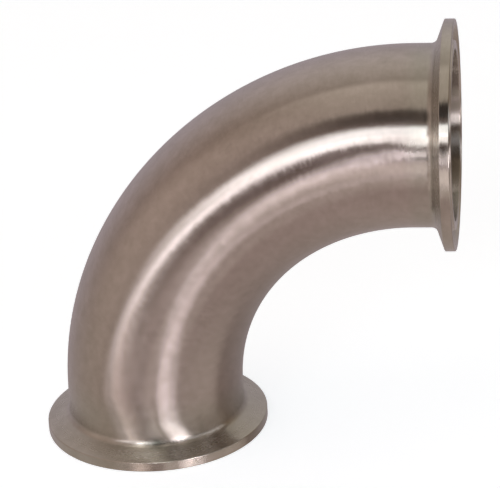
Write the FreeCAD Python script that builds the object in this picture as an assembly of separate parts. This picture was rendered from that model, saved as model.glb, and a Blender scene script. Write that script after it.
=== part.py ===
import FreeCAD, Part
import math
import os

# Sanitary 90 degree elbow for 2 inch tube: one welded and ground stainless
# part, a bent tube with a clamp ferrule on each end.
# Millimetres. Origin at the centre of the lower end face, +Z up the lower
# leg, the bend turns towards +X, and the plane Y = 0 halves the elbow.

# ---- driving dimensions -------------------------------------------------
TUBE_OD = 50.8            # 2 inch sanitary tube
WALL = 1.65               # 0.065 inch wall
CENTRE_TO_FACE = 88.9     # 3.5 inch, end face to the other leg's axis
BEND_R = 77.5             # centreline radius of the bend
FLATTEN = 0.5             # loss of the half width in the bend's plane, mid bend
WIDEN = 0.3               # gain of the half width across it, mid bend

FLANGE_OD = 64.0          # clamp flange of the 2 inch ferrule
RIM_T = 2.84              # face to the point where the back cone starts
CONE_DEG = 20.0           # back face of the flange, from the flange's plane
RIM_EDGE_R = 0.30         # broken edges of the rim
NECK_R = 2.0              # fillet from the back cone into the tube
MOUTH_R = 0.20            # broken edge of the bore at the face

GROOVE_D = 56.34          # mean diameter of the seal groove
GROOVE_R = 2.20           # radius of its round bottom
GROOVE_DEPTH = 1.60
GROOVE_EDGE_R = 0.25      # broken edges of the groove

SECTIONS = 25             # cross sections along the bend

# ---- derived ------------------------------------------------------------
R_OUT = TUBE_OD / 2.0
R_IN = R_OUT - WALL
R_FLANGE = FLANGE_OD / 2.0
LEG = CENTRE_TO_FACE - BEND_R     # straight length at each end
V = FreeCAD.Vector


def corner(p0, p, p1, r):
    """Tangent points and middle point of a round of radius r at corner p."""
    a = math.atan2(p0[1] - p[1], p0[0] - p[0])
    b = math.atan2(p1[1] - p[1], p1[0] - p[0])
    half = abs((b - a + math.pi) % (2.0 * math.pi) - math.pi) / 2.0
    t = r / math.tan(half)
    ta = (p[0] + t * math.cos(a), p[1] + t * math.sin(a))
    tb = (p[0] + t * math.cos(b), p[1] + t * math.sin(b))
    mx, my = (ta[0] + tb[0]) / 2.0 - p[0], (ta[1] + tb[1]) / 2.0 - p[1]
    m = math.hypot(mx, my)
    d = r / math.sin(half) - r
    return ta, (p[0] + mx / m * d, p[1] + my / m * d), tb


def ferrule():
    """The straight end piece, face at Z = 0, as one revolved profile (r, z)."""
    tan_c = math.tan(math.radians(CONE_DEG))
    neck = (R_OUT, RIM_T + (R_FLANGE - R_OUT) * tan_c)
    back = (R_FLANGE, RIM_T)
    edges = []

    def line(a, b):
        edges.append(Part.LineSegment(V(a[0], 0, a[1]), V(b[0], 0, b[1])).toShape())

    def arc(a, m, b):
        edges.append(Part.Arc(V(a[0], 0, a[1]), V(m[0], 0, m[1]), V(b[0], 0, b[1])).toShape())

    # bore up to the face
    start = (R_IN, LEG)
    a, m, b = corner(start, (R_IN, 0.0), (R_FLANGE, 0.0), MOUTH_R)
    line(start, a)
    arc(a, m, b)
    last = b
    # seal groove
    g = (GROOVE_D / 2.0, GROOVE_DEPTH - GROOVE_R)
    q = GROOVE_EDGE_R
    dr = math.sqrt((GROOVE_R + q) ** 2 - (q - g[1]) ** 2)
    k = GROOVE_R / (GROOVE_R + q)
    lip = {}
    for s in (-1, 1):
        c = (g[0] + s * dr, q)
        on_face = (c[0], 0.0)
        on_groove = (g[0] + s * dr * k, g[1] + (q - g[1]) * k)
        mx = (on_face[0] + on_groove[0]) / 2.0 - c[0]
        my = (on_face[1] + on_groove[1]) / 2.0 - c[1]
        h = math.hypot(mx, my)
        lip[s] = (on_face, (c[0] + mx / h * q, c[1] + my / h * q), on_groove)
    line(last, lip[-1][0])
    arc(*lip[-1])
    arc(lip[-1][2], (g[0], g[1] + GROOVE_R), lip[1][2])
    arc(lip[1][2], lip[1][1], lip[1][0])
    last = lip[1][0]
    # rim
    a, m, b = corner(last, (R_FLANGE, 0.0), back, RIM_EDGE_R)
    line(last, a)
    arc(a, m, b)
    last = b
    a, m, b = corner(last, back, neck, RIM_EDGE_R)
    line(last, a)
    arc(a, m, b)
    last = b
    # back cone, fillet and tube
    end = (R_OUT, LEG)
    a, m, b = corner(last, neck, end, NECK_R)
    line(last, a)
    arc(a, m, b)
    line(b, end)
    line(end, start)
    face = Part.Face(Part.Wire(edges))
    return face.revolve(V(0, 0, 0), V(0, 0, 1), 360)


def bend(offset):
    """Solid bend between the legs; its section is flattened in mid bend."""
    wires = []
    for i in range(SECTIONS):
        t = math.pi / 2.0 * i / (SECTIONS - 1)
        w = math.sin(2.0 * t) ** 2
        in_plane = R_OUT - FLATTEN * w - offset
        across = R_OUT + WIDEN * w - offset
        c = V(BEND_R - BEND_R * math.cos(t), 0, LEG + BEND_R * math.sin(t))
        outward = V(-math.cos(t), 0, math.sin(t))
        major = max(in_plane, across)
        minor = min(in_plane, across)
        # the major axis lies across the bend
        e = Part.Ellipse(c + V(0, major, 0), c + outward * minor, c) if major - minor > 1e-6 \
            else None
        if e is None:
            circle = Part.Circle(c, V(math.sin(t), 0, math.cos(t)), major)
            circle.XAxis = V(0, 1, 0)
            wires.append(Part.Wire([circle.toShape()]))
        else:
            wires.append(Part.Wire([e.toShape()]))
    return Part.makeLoft(wires, True, False)


def elbow():
    lower = ferrule()
    upper = ferrule()
    # the second ferrule faces +X at height CENTRE_TO_FACE
    upper.rotate(V(0, 0, 0), V(0, 1, 0), -90)
    upper.translate(V(CENTRE_TO_FACE, 0, CENTRE_TO_FACE))
    tube = bend(0.0).cut(bend(WALL))
    body = tube.fuse([lower, upper]).removeSplitter()
    return body.Solids[0] if len(body.Solids) == 1 else body


os.makedirs("parts", exist_ok=True)
shape = elbow()
shape.exportStep("parts/elbow.step")
com = shape.CenterOfMass
print("solids", len(shape.Solids), "valid", shape.isValid(), "volume", round(shape.Volume, 1))
print("box", shape.BoundBox)
print("centre of mass", round(com.x, 3), round(com.y, 3), round(com.z, 3))
print("faces", len(shape.Faces))
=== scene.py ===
import math

import bpy
import numpy as np
from mathutils import Matrix, Vector


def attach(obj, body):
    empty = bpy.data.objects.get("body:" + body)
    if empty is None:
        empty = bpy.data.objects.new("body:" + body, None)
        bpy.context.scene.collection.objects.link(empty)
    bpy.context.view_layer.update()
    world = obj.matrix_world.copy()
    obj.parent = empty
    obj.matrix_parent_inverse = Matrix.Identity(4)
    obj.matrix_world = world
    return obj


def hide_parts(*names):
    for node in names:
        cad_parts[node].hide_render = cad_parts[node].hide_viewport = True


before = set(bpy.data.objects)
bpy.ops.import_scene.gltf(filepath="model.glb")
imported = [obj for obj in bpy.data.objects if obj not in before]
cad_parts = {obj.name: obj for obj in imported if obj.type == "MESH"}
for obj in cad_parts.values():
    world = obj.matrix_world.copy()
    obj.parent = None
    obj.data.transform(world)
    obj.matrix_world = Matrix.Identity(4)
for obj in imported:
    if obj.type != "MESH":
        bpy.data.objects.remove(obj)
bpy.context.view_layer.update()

MM = 0.001
scene = bpy.context.scene

# ---------------------------------------------------------------------------
# camera: the photograph's viewing angle
# ---------------------------------------------------------------------------
AZ, EL, ROLL = math.radians(8.182), math.radians(24.146), math.radians(-3.397)
TARGET = np.array([30.03, 0.0, 56.068]) * MM
DIST = 774.39 * MM
FOCAL_PX = 2739.935


def camera_axes(az, el, roll):
    back = np.array([math.sin(az) * math.cos(el), -math.cos(az) * math.cos(el), math.sin(el)])
    right = np.cross(-back, [0, 0, 1.0])
    right /= np.linalg.norm(right)
    up = np.cross(right, -back)
    c, s = math.cos(roll), math.sin(roll)
    return c * right + s * up, -s * right + c * up, back


r_ax, u_ax, b_ax = camera_axes(AZ, EL, ROLL)
cam_data = bpy.data.cameras.new("camera")
cam_data.sensor_fit = "HORIZONTAL"
cam_data.sensor_width = 36.0
cam_data.lens = FOCAL_PX * 36.0 / 500.0
cam_data.clip_start, cam_data.clip_end = 0.01, 30.0
camera = bpy.data.objects.new("camera", cam_data)
scene.collection.objects.link(camera)
place = TARGET + DIST * b_ax
m = Matrix.Identity(4)
for i in range(3):
    m[i][0], m[i][1], m[i][2], m[i][3] = r_ax[i], u_ax[i], b_ax[i], place[i]
camera.matrix_world = m
scene.camera = camera

# ---------------------------------------------------------------------------
# the elbow's surface, in millimetres, from the same dimensions as the solid
# ---------------------------------------------------------------------------
TUBE_R, WALL = 25.4, 1.65
BEND_R, LEG = 77.5, 11.4
FLATTEN, WIDEN = 0.5, 0.3
RIM_R, RIM_T, CONE = 32.0, 2.84, math.radians(20.0)
RIM_EDGE, NECK_R, MOUTH_R = 0.30, 2.0, 0.20
GROOVE_MID, GROOVE_R, GROOVE_DEPTH, GROOVE_EDGE = 28.17, 2.20, 1.60, 0.25
AROUND = 192


def arc(cx, cz, rad, a0, a1, n, sign=1.0):
    """points of a round, r, z, and their normals; sign -1 is a hollow"""
    a = np.linspace(a0, a1, n)
    return [(cx + rad * np.cos(t), cz + rad * np.sin(t), sign * np.cos(t), sign * np.sin(t)) for t in a]


def line(p, q, n, normal):
    t = np.linspace(0, 1, n)[1:]
    return [(p[0] + (q[0] - p[0]) * k, p[1] + (q[1] - p[1]) * k, normal[0], normal[1]) for k in t]


def profile():
    """ferrule section: down the outer wall, neck, cone, rim, face, groove and mouth, and up the bore"""
    bore = TUBE_R - WALL
    sc, cc = math.sin(CONE), math.cos(CONE)
    fx = TUBE_R + NECK_R
    zc = RIM_T + (RIM_R - fx) * math.tan(CONE) + NECK_R / cc
    rows = line((TUBE_R, LEG), (TUBE_R, zc), 8, (1, 0))
    rows += arc(fx, zc, NECK_R, math.pi, math.atan2(-cc, -sc) + 2 * math.pi, 12, -1.0)[1:]
    p_cone = rows[-1][:2]
    ex = RIM_R - RIM_EDGE
    ez = RIM_T + (RIM_R - ex) * math.tan(CONE) - RIM_EDGE / cc
    a_c = math.atan2(cc, sc)
    q_cone = (ex + RIM_EDGE * math.cos(a_c), ez + RIM_EDGE * math.sin(a_c))
    rows += line(p_cone, q_cone, 9, (sc, cc))
    rows += arc(ex, ez, RIM_EDGE, a_c, 0.0, 7)[1:]
    rows += line((RIM_R, ez), (RIM_R, RIM_EDGE), 6, (1, 0))
    rows += arc(ex, RIM_EDGE, RIM_EDGE, 0.0, -math.pi / 2, 7)[1:]
    dx = math.sqrt((GROOVE_R + GROOVE_EDGE) ** 2 - (GROOVE_R - GROOVE_DEPTH + GROOVE_EDGE) ** 2)
    gz = -(GROOVE_R - GROOVE_DEPTH)
    lip_o, lip_i = GROOVE_MID + dx, GROOVE_MID - dx
    rows += line((ex, 0), (lip_o, 0), 3, (0, -1))
    rows += arc(lip_o, GROOVE_EDGE, GROOVE_EDGE, -math.pi / 2, math.atan2(gz - GROOVE_EDGE, GROOVE_MID - lip_o), 5)[1:]
    g0 = math.atan2(GROOVE_EDGE - gz, lip_o - GROOVE_MID)
    rows += arc(GROOVE_MID, gz, GROOVE_R, g0, math.pi - g0, 15, -1.0)[1:]
    rows += arc(lip_i, GROOVE_EDGE, GROOVE_EDGE, math.atan2(gz - GROOVE_EDGE, GROOVE_MID - lip_i), -math.pi / 2, 5)[1:]
    mo = bore + MOUTH_R
    rows += line((lip_i, 0), (mo, 0), 3, (0, -1))
    rows += arc(mo, MOUTH_R, MOUTH_R, -math.pi / 2, -math.pi, 6)[1:]
    rows += line((bore, MOUTH_R), (bore, LEG), 6, (-1, 0))
    return rows


def bend_ring(t, off, phi):
    w = math.sin(2 * t) ** 2
    a, b = TUBE_R - FLATTEN * w - off, TUBE_R + WIDEN * w - off
    o = np.array([-math.cos(t), 0.0, math.sin(t)])
    c = np.array([BEND_R - BEND_R * math.cos(t), 0.0, LEG + BEND_R * math.sin(t)])
    return c + a * np.cos(phi)[:, None] * o + b * np.sin(phi)[:, None] * np.array([0.0, -1.0, 0.0])


def bend_normal(t, off, phi, inward):
    h = 1e-4
    n = np.cross(bend_ring(t, off, phi + h) - bend_ring(t, off, phi - h), bend_ring(t + h, off, phi) - bend_ring(t - h, off, phi))
    n /= np.linalg.norm(n, axis=1)[:, None]
    o = np.array([-math.cos(t), 0.0, math.sin(t)])
    out = np.cos(phi)[:, None] * o + np.sin(phi)[:, None] * np.array([0.0, -1.0, 0.0])
    n *= np.sign((n * out).sum(1))[:, None]
    return -n if inward else n


def smooth(x):
    k = np.clip(x, 0.0, 1.0)
    return k * k * (3.0 - 2.0 * k)


def lean(n, h, along, away, phi, low):
    """normals where a ferrule is welded on and the seam is dressed off: the surface leans a little away from the
    flange and round the tube. h is the height over the flange's face, along the axial part of the normals."""
    turn = np.degrees(phi)
    rim = smooth((3.4 - h) / 0.4)
    leg = (1.0 - smooth((along - 0.1) / 0.4)) * (1.0 - rim)
    if low:
        front = smooth((turn - 40) / 25) * (1 - smooth((turn - 140) / 30))
        left = 1 - smooth((turn - 92) / 12)
        up = 6.0 * smooth((14 - h) / 6) * leg * front
        turned = left * (10.5 * np.clip((19 - h) / 12.3, 0, 1) * (1 - 0.8 * smooth((along - 0.05) / 0.35)) * (1 - rim) + 15.0 * rim)
        turned = (turned + (1 - left) * (6.5 * smooth((12 - h) / 6) * (1 - rim) + 10.0 * rim)) * front
    else:
        up = 5.0 * smooth((13 - h) / 5) * leg * smooth((turn - 20) / 20) * (1 - smooth((turn - 71) / 6))
        flat = 2.6 * smooth((turn - 65) / 9) * (1 - smooth((turn - 75) / 7))
        turned = flat * smooth((16 - h) / 6) * leg * (1 - smooth(along / 0.3))
    out = away - (n @ away)[:, None] * n
    out /= np.maximum(np.linalg.norm(out, axis=1), 1e-6)[:, None]
    back = np.cross(n, away if low else -away)
    n = n + np.tan(np.radians(up))[:, None] * out + np.tan(np.radians(turned))[:, None] * back
    return n / np.linalg.norm(n, axis=1)[:, None]


def surface():
    """one closed run of rings: outside, upper ferrule, bore, lower ferrule"""
    phi = np.arange(AROUND) * 2 * math.pi / AROUND
    cs, sn, end = np.cos(phi), np.sin(phi), LEG + BEND_R
    P, N, Z = [], [], []
    prof = profile()
    inside = max(k for k, row in enumerate(prof) if row[3] > -0.5 and row[0] > RIM_R - 1) + 1
    for t in np.linspace(0, math.pi / 2, 97):
        n = bend_normal(t, 0.0, phi, False)
        away = np.array([math.sin(t), 0.0, math.cos(t)])
        n = lean(n, LEG + BEND_R * t, 0.0, away, phi, True)
        n = lean(n, LEG + BEND_R * (math.pi / 2 - t), 0.0, -away, phi, False)
        P.append(bend_ring(t, 0.0, phi)), N.append(n), Z.append(0)
    for k, (r, z, nr, nz) in enumerate(prof):
        P.append(np.stack([np.full(AROUND, end - z), -r * sn, end + r * cs], 1))
        n = np.stack([np.full(AROUND, -nz), -nr * sn, nr * cs], 1)
        N.append(lean(n, z, nz, np.array([-1.0, 0, 0]), phi, False) if k < inside else n)
        Z.append(1)
    for t in np.linspace(math.pi / 2, 0, 57)[1:]:
        P.append(bend_ring(t, WALL, phi)), N.append(bend_normal(t, WALL, phi, True)), Z.append(2)
    for k, (r, z, nr, nz) in list(enumerate(prof))[::-1][1:]:
        P.append(np.stack([-r * cs, -r * sn, np.full(AROUND, z)], 1))
        n = np.stack([-nr * cs, -nr * sn, np.full(AROUND, nz)], 1)
        N.append(lean(n, z, nz, np.array([0, 0, 1.0]), phi, True) if k < inside else n)
        Z.append(1)
    P, N = np.array(P), np.array(N)
    step = np.linalg.norm(np.roll(P, -1, 0) - P, axis=2).mean(1)
    U = np.concatenate([[0.0], np.cumsum(step)])
    return P, N, U, np.array(Z), phi


def build_elbow():
    P, N, U, Z, phi = surface()
    n = len(P)
    i, j = np.meshgrid(np.arange(n), np.arange(AROUND), indexing="ij")
    i2, j2 = (i + 1) % n, (j + 1) % AROUND
    quads = np.stack([i * AROUND + j, i * AROUND + j2, i2 * AROUND + j2, i2 * AROUND + j], -1).reshape(-1, 4)
    me = bpy.data.meshes.new("elbow_steel")
    me.from_pydata((P.reshape(-1, 3) * MM).tolist(), [], quads.tolist())
    uv = me.uv_layers.new(name="length_and_turn")
    vturn = TUBE_R * np.concatenate([phi, [2 * math.pi]])
    lu = np.stack([U[i], U[i], U[i + 1], U[i + 1]], -1).reshape(-1)
    lv = np.stack([vturn[j], vturn[j + 1], vturn[j + 1], vturn[j]], -1).reshape(-1)
    scale = 1.0 / 320.0
    uv.data.foreach_set("uv", (np.stack([lu, lv], 1) * scale).astype(np.float32).ravel())
    # place on the surface for the grain: x, y turn with the tube, z is the running length from the lower end of
    # the bend, all in mm; the run starts again inside the bore, where the cut isn't seen
    grain = me.attributes.new("grain", "FLOAT_VECTOR", "CORNER")
    cut = int(np.flatnonzero(Z == 2)[-1])
    lg = lu - np.repeat(np.where(i.ravel() >= cut, U[-1], 0.0), 4)
    turn = np.stack([phi[j], phi[j2], phi[j2], phi[j]], -1).reshape(-1)
    grain.data.foreach_set("vector", np.stack([TUBE_R * np.cos(turn), TUBE_R * np.sin(turn), lg], 1).astype(np.float32).ravel())
    me.polygons.foreach_set("use_smooth", np.ones(len(quads), bool))
    me.update()
    me.normals_split_custom_set_from_vertices(N.reshape(-1, 3).tolist())
    me.update()
    ob = bpy.data.objects.new("elbow_steel", me)
    scene.collection.objects.link(ob)
    return ob


elbow = build_elbow()


# ---------------------------------------------------------------------------
# small helper for node arithmetic
# ---------------------------------------------------------------------------
class Val:
    def __init__(self, tree, socket):
        self.tree, self.socket = tree, socket

    def op(self, kind, *others, swap=False):
        node = self.tree.nodes.new("ShaderNodeMath")
        node.operation = kind
        args = [self, *others]
        if swap:
            args = args[::-1]
        for k, a in enumerate(args):
            if isinstance(a, Val):
                self.tree.links.new(a.socket, node.inputs[k])
            else:
                node.inputs[k].default_value = float(a)
        return Val(self.tree, node.outputs[0])

    def __add__(self, o): return self.op("ADD", o)
    def __radd__(self, o): return self.op("ADD", o)
    def __sub__(self, o): return self.op("SUBTRACT", o)
    def __rsub__(self, o): return self.op("SUBTRACT", o, swap=True)
    def __mul__(self, o): return self.op("MULTIPLY", o)
    def __rmul__(self, o): return self.op("MULTIPLY", o)
    def __truediv__(self, o): return self.op("DIVIDE", o)
    def abs(self): return self.op("ABSOLUTE")
    def max(self, o): return self.op("MAXIMUM", o)
    def min(self, o): return self.op("MINIMUM", o)
    def tanh(self): return self.op("TANH")
    def clamp(self): return self.max(0.0).min(1.0)


def ramp(x, soft):
    """1 in the middle, falling smoothly to 0 at |x| = 1 over the soft part"""
    k = ((1.0 - x.abs()) / max(soft, 1e-3)).clamp()
    return k * k * (3.0 - 2.0 * k)


# ---------------------------------------------------------------------------
# brushed steel
# ---------------------------------------------------------------------------
A_LONG, A_ROUND = 0.20, 0.018        # spread of the reflection along the tube and round it
STEEL = (0.600, 0.555, 0.520)


def noise(t, place, scale_turn, scale_long, detail=2.0, rough=0.55, seed=0.0):
    """grey noise; the scales are cycles per mm round the tube and along it"""
    mp = t.nodes.new("ShaderNodeMapping")
    mp.inputs["Scale"].default_value = (scale_turn, scale_turn, scale_long)
    mp.inputs["Location"].default_value = (seed, 1.7 * seed, 0.6 * seed)
    t.links.new(place, mp.inputs["Vector"])
    n = t.nodes.new("ShaderNodeTexNoise")
    n.inputs["Scale"].default_value = 1.0
    n.inputs["Detail"].default_value = detail
    n.inputs["Roughness"].default_value = rough
    t.links.new(mp.outputs[0], n.inputs["Vector"])
    return Val(t, n.outputs["Fac"])


def mix_colour(t, fac, a, b):
    m = t.nodes.new("ShaderNodeMix")
    m.data_type = "RGBA"
    t.links.new(fac.socket, m.inputs["Factor"])
    for k, c in ((6, a), (7, b)):
        if isinstance(c, tuple):
            m.inputs[k].default_value = (*c, 1)
        else:
            t.links.new(c, m.inputs[k])
    return m.outputs[2]


def steel_material():
    mat = bpy.data.materials.new("brushed_steel")
    mat.use_nodes = True
    t = mat.node_tree
    t.nodes.clear()
    out = t.nodes.new("ShaderNodeOutputMaterial")
    bsdf = t.nodes.new("ShaderNodeBsdfPrincipled")
    t.links.new(bsdf.outputs[0], out.inputs[0])
    at = t.nodes.new("ShaderNodeAttribute")
    at.attribute_name = "grain"
    place = at.outputs["Vector"]
    sep = t.nodes.new("ShaderNodeSeparateXYZ")
    t.links.new(place, sep.inputs[0])
    gx, gy, run = (Val(t, sep.outputs[k]) for k in range(3))

    def near(x, middle, width):
        """1 at the middle, fading away over the width"""
        q = (x - middle) / width
        return (q * q * -1.0).op("EXPONENT")

    # grain of the belt: long round the tube, narrow along it
    hair = noise(t, place, 0.10, 3.4, 3.0, 0.65)
    streak = noise(t, place, 0.36, 2.8, 2.0, 0.55, 3.1)
    # cloudy patches at two sizes, and fine mottling
    cloud = noise(t, place, 0.070, 0.070, 2.0, 0.5, 11.3)
    mottle = noise(t, place, 0.34, 0.34, 3.0, 0.62, 5.9)
    # dull flecks, mostly where the ferrules are welded on and the belt has run out
    fleck = ((noise(t, place, 0.55, 0.75, 2.0, 0.6, 23.9) - 0.60) * 6.0).clamp()
    weld = near(run, WELD_UP, 2.6) + near(run, WELD_LOW, 3.4)
    dull = fleck * (weld * 0.45 + ((cloud - 0.5) * 2.5).clamp() * 0.35).min(1.0)
    # coarser belt marks in places
    coarse = ((noise(t, place, 0.05, 0.05, 1.0, 0.5, 41.7) - 0.50) * 4.0).clamp() * 0.5
    rub = near(gx, 4.6, 3.4) * ((gy - 5.0) * 0.2).clamp() * ((run - 62.0) / 40.0).clamp()
    coarse = (coarse + rub).min(1.0)
    # at the upper weld the belt has smeared one patch; below it a thin painted dark line stands in for a dark
    # reflection, and at the lower neck a painted dark patch stands in for a dark reflection between the two glints
    smear = near(gx, 6.2, 2.2) * (gy * 0.2).clamp() * ((run - 117.5) / 5.0).clamp() * near(run, 122.0, 6.0)
    painted_dark_line = near(gx, 3.5, 0.55) * (gy * 0.2).clamp() * ((run - 119.5) / 5.0).clamp() * ((127.5 - run) * 2.0).clamp()
    painted_neck_dark = near(gx, -3.7, 2.2) * (gy * 0.2).clamp() * near(run, -5.6, 1.7)
    # painted dark reflections: two patches, on the upper rim and beside the upper neck, darken the colour where the
    # reflection is dark
    painted_dark_gaps = (near(gx, 6.6, 1.3) * near(run, RIM_UP, 1.5) + near(gx, 13.8, 1.3) * near(run, 126.8, 1.0)) * (gy * 0.2).clamp()
    # painted glints: spots where the colour is made brighter to stand in for highlights, two on the lower neck, one on
    # the lower rim, one on the upper neck and cone
    painted_glints = (near(gx, 1.2, 1.7) + near(gx, -10.3, 2.2)) * near(run, -5.9, 1.3)
    painted_glints = painted_glints + near(gx, -11.4, 2.0) * near(run, RIM_LOW, 1.5) + near(gx, 9.1, 1.5) * near(run, 130.6, 4.2)
    painted_glints = painted_glints * (gy * 0.2).clamp()

    bsdf.inputs["Metallic"].default_value = 1.0
    fac = ((cloud - 0.5) * 0.8 + (mottle - 0.5) * 1.6 + (streak - 0.5) * 0.5 + 0.5).clamp()
    base = mix_colour(t, fac, tuple(c * k for c, k in zip(STEEL, (0.90, 0.90, 0.885))), tuple(c * k for c, k in zip(STEEL, (1.10, 1.10, 1.115))))
    base = mix_colour(t, dull * 0.45, base, tuple(c * 0.62 for c in STEEL))
    # the ferrules are turned from bar: a cooler tone than the belt-brushed tube, and a finer finish on their rims
    ends = ((8.0 - run) / 8.0).clamp() + ((run - 120.0) / 4.0).clamp() * near(run, 120.0, 60.0)
    tone = t.nodes.new("ShaderNodeMix")
    tone.data_type, tone.blend_type = "RGBA", "MULTIPLY"
    t.links.new(ends.clamp().socket, tone.inputs["Factor"])
    t.links.new(base, tone.inputs[6])
    tone.inputs[7].default_value = (0.955, 1.0, 0.975, 1)
    base = tone.outputs[2]
    # painted dark reflections: the dark line, the neck patch and the rim and neck patches multiply the colour darker
    painted_shade_mix = t.nodes.new("ShaderNodeMix")
    painted_shade_mix.data_type, painted_shade_mix.blend_type = "RGBA", "MULTIPLY"
    t.links.new((painted_dark_line * 0.55 + painted_neck_dark * 0.95 + painted_dark_gaps * 0.6).clamp().socket, painted_shade_mix.inputs["Factor"])
    t.links.new(base, painted_shade_mix.inputs[6])
    painted_shade_mix.inputs[7].default_value = (0.26, 0.27, 0.25, 1)
    base = painted_shade_mix.outputs[2]
    rims = near(run, RIM_LOW, 1.8) + near(run, RIM_UP, 1.8)
    cones = near(run, RIM_LOW + 4.2, 2.0) + near(run, RIM_UP - 4.2, 2.0)
    # painted highlights: the steel's colour is made brighter on the glint spots
    painted_glint_mix = t.nodes.new("ShaderNodeMix")
    painted_glint_mix.data_type, painted_glint_mix.blend_type = "RGBA", "MULTIPLY"
    t.links.new(painted_glints.clamp().socket, painted_glint_mix.inputs["Factor"])
    t.links.new(base, painted_glint_mix.inputs[6])
    painted_glint_mix.inputs[7].default_value = (1.58, 1.58, 1.58, 1)
    base = painted_glint_mix.outputs[2]
    # the sealing faces are machined brighter
    faces = near(run, FACE_UP, 5.0) + near(run, FACE_LOW, 5.0)
    bright = t.nodes.new("ShaderNodeMix")
    bright.data_type, bright.blend_type = "RGBA", "MULTIPLY"
    t.links.new(faces.clamp().socket, bright.inputs["Factor"])
    t.links.new(base, bright.inputs[6])
    bright.inputs[7].default_value = (1.26, 1.25, 1.22, 1)
    base = bright.outputs[2]
    t.links.new(base, bsdf.inputs["Base Color"])

    rough = math.sqrt(math.sqrt(A_LONG * A_ROUND))
    r = ((hair - 0.5) * 0.05 + (mottle - 0.5) * 0.05 + dull * 0.03 + rough) * (1.0 - rims * 0.22 + cones * 0.12) + smear * 0.04
    t.links.new(r.socket, bsdf.inputs["Roughness"])
    bsdf.inputs["Anisotropic"].default_value = min(1.0, (1 - A_ROUND / A_LONG) / 0.9)
    tan = t.nodes.new("ShaderNodeTangent")
    tan.direction_type = "UV_MAP"
    tan.uv_map = "length_and_turn"
    t.links.new(tan.outputs[0], bsdf.inputs["Tangent"])

    # the streaks tip the surface a little round the tube, the hairs along it
    geo = t.nodes.new("ShaderNodeNewGeometry")

    def vector(kind, a, b=None, c=None, scale=None):
        node = t.nodes.new("ShaderNodeVectorMath")
        node.operation = kind
        for k, s in enumerate((a, b, c)):
            if s is not None:
                t.links.new(s, node.inputs[k])
        if scale is not None:
            t.links.new(scale.socket, node.inputs["Scale"])
        return node.outputs[0]

    n0, along = geo.outputs["Normal"], tan.outputs[0]
    round_it = vector("CROSS_PRODUCT", n0, along)
    tip_round = (streak - 0.5) * (coarse * TIP_COARSE + TIP_FINE) + (mottle - 0.5) * TIP_MOTTLE
    tip_along = (hair - 0.5) * (1.0 - (rims + cones).min(1.0) * 0.55) * TIP_HAIR
    n1 = vector("ADD", n0, vector("SCALE", round_it, scale=tip_round))
    n1 = vector("NORMALIZE", vector("ADD", n1, vector("SCALE", along, scale=tip_along)))
    bump = t.nodes.new("ShaderNodeBump")
    bump.inputs["Strength"].default_value = 1.0
    bump.inputs["Distance"].default_value = BUMP_MM * MM
    t.links.new(hair.socket, bump.inputs["Height"])
    t.links.new(n1, bump.inputs["Normal"])
    t.links.new(bump.outputs[0], bsdf.inputs["Normal"])
    return mat


WELD_UP, WELD_LOW = 117.6, 3.6       # where the ferrules are welded on, along the run
RIM_UP, RIM_LOW = 135.7, -14.0       # the ferrules' rims
FACE_UP, FACE_LOW = 143.0, -21.3     # and their sealing faces
TIP_COARSE, TIP_FINE, TIP_MOTTLE, TIP_HAIR = 0.10, 0.025, 0.02, 0.06
BUMP_MM = 0.002
steel = steel_material()
elbow.data.materials.append(steel)
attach(elbow, "root")
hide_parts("elbow")

# ---------------------------------------------------------------------------
# studio: softboxes, surroundings, floor
# ---------------------------------------------------------------------------
AIM = np.array([30.0, 0.0, 60.0]) * MM


def card_axes(az, el, roll):
    a, e, r = math.radians(az), math.radians(el), math.radians(roll)
    d = np.array([math.sin(a) * math.cos(e), -math.cos(a) * math.cos(e), math.sin(e)])
    u = np.array([math.cos(a), math.sin(a), 0.0])
    v = np.cross(u, d)
    if v[2] < 0:
        v = -v
    return d, math.cos(r) * u + math.sin(r) * v, -math.sin(r) * u + math.cos(r) * v


def softbox(name, az, el, dist, half_w, half_h, roll, soft, radiance, colour=(1, 1, 1)):
    """a lamp that faces the elbow; half_w and half_h are its half angles in degrees, soft the faded share"""
    d, u, v = card_axes(az, el, roll)
    dist *= MM
    w, h = 2 * dist * math.tan(math.radians(half_w)), 2 * dist * math.tan(math.radians(half_h))
    data = bpy.data.lights.new(name, "AREA")
    data.shape = "RECTANGLE"
    data.size, data.size_y = w, h
    data.energy = radiance * w * h * LAMP_SCALE
    data.color = colour
    data.use_nodes = True
    t = data.node_tree
    em = [n for n in t.nodes if n.type == "EMISSION"][0]
    geo = t.nodes.new("ShaderNodeNewGeometry")
    sep = t.nodes.new("ShaderNodeSeparateXYZ")
    t.links.new(geo.outputs["Parametric"], sep.inputs[0])
    x = Val(t, sep.outputs[0]) * 2.0 - 1.0
    y = Val(t, sep.outputs[1]) * 2.0 - 1.0
    s = ramp(x, soft) * ramp(y, soft)
    t.links.new(s.socket, em.inputs["Strength"])
    ob = bpy.data.objects.new(name, data)
    n = np.cross(u, v)                        # the lamp's local +Z; it shines along -Z
    if n @ d < 0:
        v = -v
        n = -n
    place = AIM + dist * d
    mx = Matrix.Identity(4)
    for k in range(3):
        mx[k][0], mx[k][1], mx[k][2], mx[k][3] = u[k], v[k], n[k], place[k]
    ob.matrix_world = mx
    scene.collection.objects.link(ob)
    return ob


LAMP_SCALE = math.pi

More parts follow.
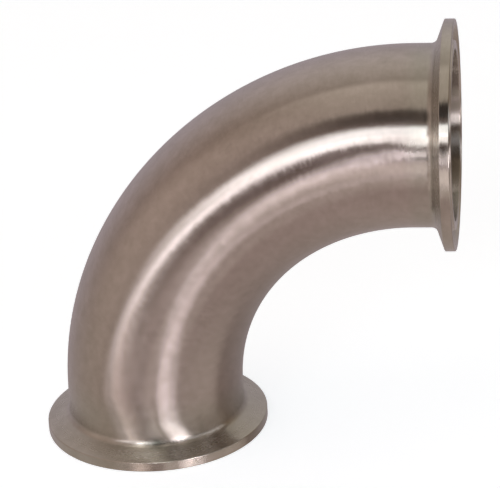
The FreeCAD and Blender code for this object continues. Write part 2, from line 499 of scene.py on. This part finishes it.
# azimuth from the front towards +X, elevation, distance (mm), half width and half height (degrees), roll, soft
# share, radiance
SOFTBOXES = {
    "left_front_long": (-21.76, 16.5, 2500, 32.41, 5.73, 14.18, 0.5, (2.053, 1.983, 2.018)),
    "right_high_long": (54.66, 26.03, 2500, 41.9, 6.7, -8.01, 0.64, (1.661, 1.697, 1.847)),
    "right_front_key": (23.51, -1.22, 2389.88, 17.08, 9.09, -6.48, 0.7, (6.10, 5.62, 5.91)),
    "right_front_under_key": (21.94, -8, 2500, 12.13, 4.3, -4.33, 0.15, (1.05, 0.88, 0.96)),
    "left_fill": (-59.65, 22.59, 646.08, 45, 38.63, 44.15, 0.73, (0.249, 0.219, 0.207)),
    "top_left_fill": (-35.93, 69.92, 2500, 22.52, 14.59, -43.53, 0.3, (0.449, 0.410, 0.368)),
    "front_low_fill": (2.86, -14.12, 450, 11.59, 30.86, 90, 0.74, (0.761, 0.679, 0.654)),
    "left_front_upper": (-13.93, 27.44, 2500, 11.42, 5.62, -4.34, 0.15, (3.130, 3.189, 3.295)),
    "left_strip": (-37.68, -0.09, 450, 6.48, 39.43, -45.89, 0.95, (1.552, 1.436, 1.498)),
    "right_low_fill": (61.4, -33.43, 1816.25, 37.68, 18.03, -17.11, 0.55, (0.311, 0.280, 0.256)),
    "left_low_strip": (-42.3, -30.24, 450, 3.47, 19.59, 22.52, 0.25, (1.019, 0.831, 0.785)),
    "front_floor_bounce": (9.45, -35.93, 2500, 21.99, 7.3, -27.42, 0.45, (0.425, 0.397, 0.367)),
    "right_front_spot": (23.62, 5.37, 2500, 5.3, 3.4, 11.98, 0.15, (2.104, 2.000, 2.102)),
    "front_low_spot": (14.99, -27.07, 2475.12, 7.44, 4.21, 18.26, 0.15, (1.00, 0.87, 0.92)),
}
for name, (az, el, dist, hw, hh, roll, soft, glow) in SOFTBOXES.items():
    top = max(glow)
    softbox("softbox_" + name, az, el, dist, hw, hh, roll, soft, top, tuple(c / top for c in glow))

# soft surroundings: twelve broad glows, the same from everywhere
SURROUND = (  # direction, brightness
    ((0.000, 0.526, 0.851), (0.450, 0.425, 0.381)),
    ((0.000, 0.526, -0.851), (0.205, 0.170, 0.147)),
    ((0.000, -0.526, 0.851), (0.000, 0.000, 0.000)),
    ((0.000, -0.526, -0.851), (0.296, 0.220, 0.208)),
    ((0.526, 0.851, 0.000), (0.095, 0.087, 0.101)),
    ((0.526, -0.851, 0.000), (0.000, 0.000, 0.000)),
    ((-0.526, 0.851, 0.000), (0.224, 0.194, 0.239)),
    ((-0.526, -0.851, 0.000), (0.025, 0.000, 0.000)),
    ((0.851, 0.000, 0.526), (0.108, 0.053, 0.000)),
    ((0.851, 0.000, -0.526), (0.093, 0.072, 0.066)),
    ((-0.851, 0.000, 0.526), (0.100, 0.033, 0.000)),
    ((-0.851, 0.000, -0.526), (0.243, 0.229, 0.191)),
)
# a dark flag overhead, placed as the softboxes are, and the share of the surroundings that it takes away
FLAG = (0.32, 46.46, 1745.74, 27.07, 8.43, -2.93, 0.15, 0.92)


def build_world():
    w = bpy.data.worlds.new("surroundings")
    w.use_nodes = True
    scene.world = w
    t = w.node_tree
    t.nodes.clear()
    out = t.nodes.new("ShaderNodeOutputWorld")
    bg = t.nodes.new("ShaderNodeBackground")
    t.links.new(bg.outputs[0], out.inputs[0])
    tc = t.nodes.new("ShaderNodeTexCoord")
    sep = t.nodes.new("ShaderNodeSeparateXYZ")
    t.links.new(tc.outputs["Generated"], sep.inputs[0])
    x, y, z = (Val(t, sep.outputs[k]) for k in range(3))

    def dot(a):
        return x * a[0] + y * a[1] + z * a[2]
    total = None
    for direction, colour in SURROUND:
        glow = ((dot(direction) - 1.0) * 3.0).op("EXPONENT")
        add = t.nodes.new("ShaderNodeVectorMath")
        add.operation = "MULTIPLY_ADD"
        t.links.new(glow.socket, add.inputs[0])
        add.inputs[1].default_value = colour
        if total is not None:
            t.links.new(total, add.inputs[2])
        total = add.outputs[0]
    az, el, dist, hw, hh, roll, soft, k = FLAG
    d, u, v = card_axes(az, el, roll)
    dd = dot(d)
    ok = dd.op("GREATER_THAN", 0.05)
    den = dd.max(0.05)
    flag = ramp(dot(u) / den / math.tan(math.radians(hw)), soft) * ramp(dot(v) / den / math.tan(math.radians(hh)), soft) * ok
    t.links.new(total, bg.inputs["Color"])
    t.links.new((1.0 - flag * k).socket, bg.inputs["Strength"])
    return w


build_world()


FLOOR_WHITE = 0.995
FLOOR_LIT = (0.353, 0.309, 0.279)     # what the lamps give a floor of 0.85 round the elbow
COVE_R = 6.0


def cove():
    """pale floor that runs up into a backdrop all round, one turned surface"""
    rows = [(0.0, 0.0)] + [(r, 0.0) for r in np.linspace(0.1, COVE_R - 1.5, 24)]
    rows += [(COVE_R - 1.5 + 1.5 * math.sin(a), 1.5 - 1.5 * math.cos(a)) for a in np.linspace(0, math.pi / 2, 16)[1:]]
    rows += [(COVE_R * math.cos(a), 1.5 + COVE_R * math.sin(a)) for a in np.linspace(0, math.pi / 2, 20)[1:-1]] + [(0.0, 1.5 + COVE_R)]
    n = 96
    V, F, ids = [], [], []
    for r, z in rows:
        if r == 0.0:
            ids.append([len(V)] * n)
            V.append((0.0, 0.0, z))
        else:
            ids.append(list(range(len(V), len(V) + n)))
            V += [(r * math.cos(2 * math.pi * k / n), r * math.sin(2 * math.pi * k / n), z) for k in range(n)]
    for a, b in zip(ids[:-1], ids[1:]):
        for k in range(n):
            q = [a[k], a[(k + 1) % n], b[(k + 1) % n], b[k]]
            F.append(tuple(dict.fromkeys(q)))
    me = bpy.data.meshes.new("floor_and_backdrop")
    me.from_pydata(V, [], F)
    me.polygons.foreach_set("use_smooth", np.ones(len(F), bool))
    me.update()
    ob = bpy.data.objects.new("floor_and_backdrop", me)
    scene.collection.objects.link(ob)
    mat = bpy.data.materials.new("pale_floor")
    mat.use_nodes = True
    t = mat.node_tree
    b = t.nodes["Principled BSDF"]
    tc = t.nodes.new("ShaderNodeTexCoord")
    sep = t.nodes.new("ShaderNodeSeparateXYZ")
    t.links.new(tc.outputs["Object"], sep.inputs[0])
    x, y = Val(t, sep.outputs[0]), Val(t, sep.outputs[1])
    r = (x * x + y * y).op("SQRT")
    far = ((r - 0.25) / 0.75).clamp()
    far = far * far * (3.0 - 2.0 * far)
    t.links.new(mix_colour(t, far, (0.85,) * 3, (0.0,) * 3), b.inputs["Base Color"])
    t.links.new(mix_colour(t, far, tuple(FLOOR_WHITE - c for c in FLOOR_LIT), (FLOOR_WHITE,) * 3), b.inputs["Emission Color"])
    b.inputs["Emission Strength"].default_value = 1.0
    b.inputs["Roughness"].default_value = 1.0
    b.inputs["Specular IOR Level"].default_value = 0.0
    me.materials.append(mat)
    # it is only looked at: it neither lights the steel nor shades the lamps outside it
    ob.visible_glossy = ob.visible_diffuse = ob.visible_transmission = ob.visible_shadow = False
    return ob


cove()

scene.view_settings.view_transform = "Standard"
scene.view_settings.look = "None"
scene.view_settings.exposure = 0.0
scene.view_settings.gamma = 1.0
